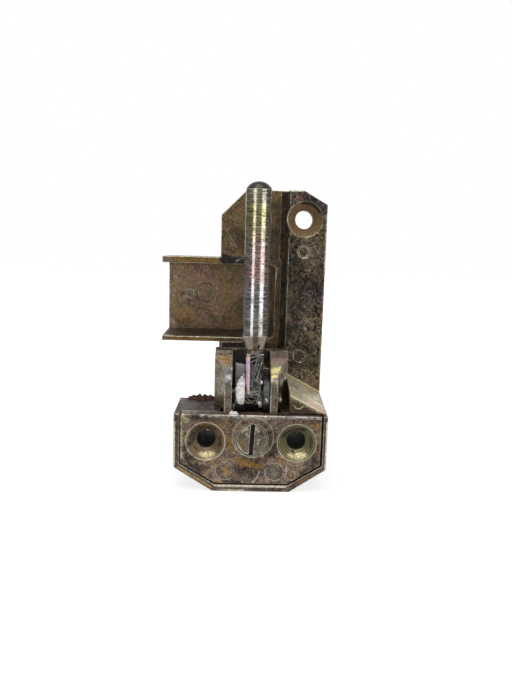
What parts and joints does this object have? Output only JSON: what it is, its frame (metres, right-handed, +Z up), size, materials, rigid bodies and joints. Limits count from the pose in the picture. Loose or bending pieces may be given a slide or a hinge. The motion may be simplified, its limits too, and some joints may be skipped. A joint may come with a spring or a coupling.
{
  "type": "window corner hinge",
  "caption": "Frame-side corner hinge of a tilt-and-turn window: cast housing with a back plate, side trough and screwed box, a sliding fork and a tilting steel pin.",
  "frame": {"origin": "on the upright pin's axis, at the foot of its cylinder where the cone starts", "axes": "+Z up along the pin, +X to the right seen from the room, +Y into the window frame"},
  "size_m": [0.0435, 0.0372, 0.0763],
  "materials": {
    "housing_casting": "satin",
    "cover_casting": "satin",
    "fork_casting": "satin",
    "pin_steel": "satin",
    "axle_steel": "satin",
    "spacer_nylon": "satin",
    "screw_steel": "satin",
    "clip_steel": "satin",
    "rivet_steel": "satin"
  },
  "bodies": {
    "housing": {"frame_housing": "housing_casting", "front_cover": "cover_casting", "cover_rivet_left": "rivet_steel", "cover_rivet_right": "rivet_steel"},
    "fork": {"tilt_fork": "fork_casting", "tilt_axle": "axle_steel", "spacer_left": "spacer_nylon", "spacer_right": "spacer_nylon"},
    "pin": {"sash_pin": "pin_steel"},
    "adjuster": {"adjusting_screw": "screw_steel", "screw_clip": "clip_steel"}
  },
  "joints": [
    {"name": "fork_shift", "type": "slide", "parent": "housing", "child": "fork", "axis": [1, 0, 0], "range_m": [-0.001, 0.001]},
    {"name": "pin_tilt", "type": "hinge", "parent": "fork", "child": "pin", "pos_m": [0, 0, -0.01545], "axis": [1, 0, 0], "range_deg": [0, 90]},
    {"name": "adjuster_turn", "type": "hinge", "parent": "housing", "child": "adjuster", "pos_m": [-0.00025, -0.0067, -0.0253], "axis": [0, 1, 0], "range_deg": [-56, 56]}
  ],
  "couplings": [
    {"joint": "adjuster_turn", "follows": "fork_shift", "rad_per_m": 977}
  ]
}
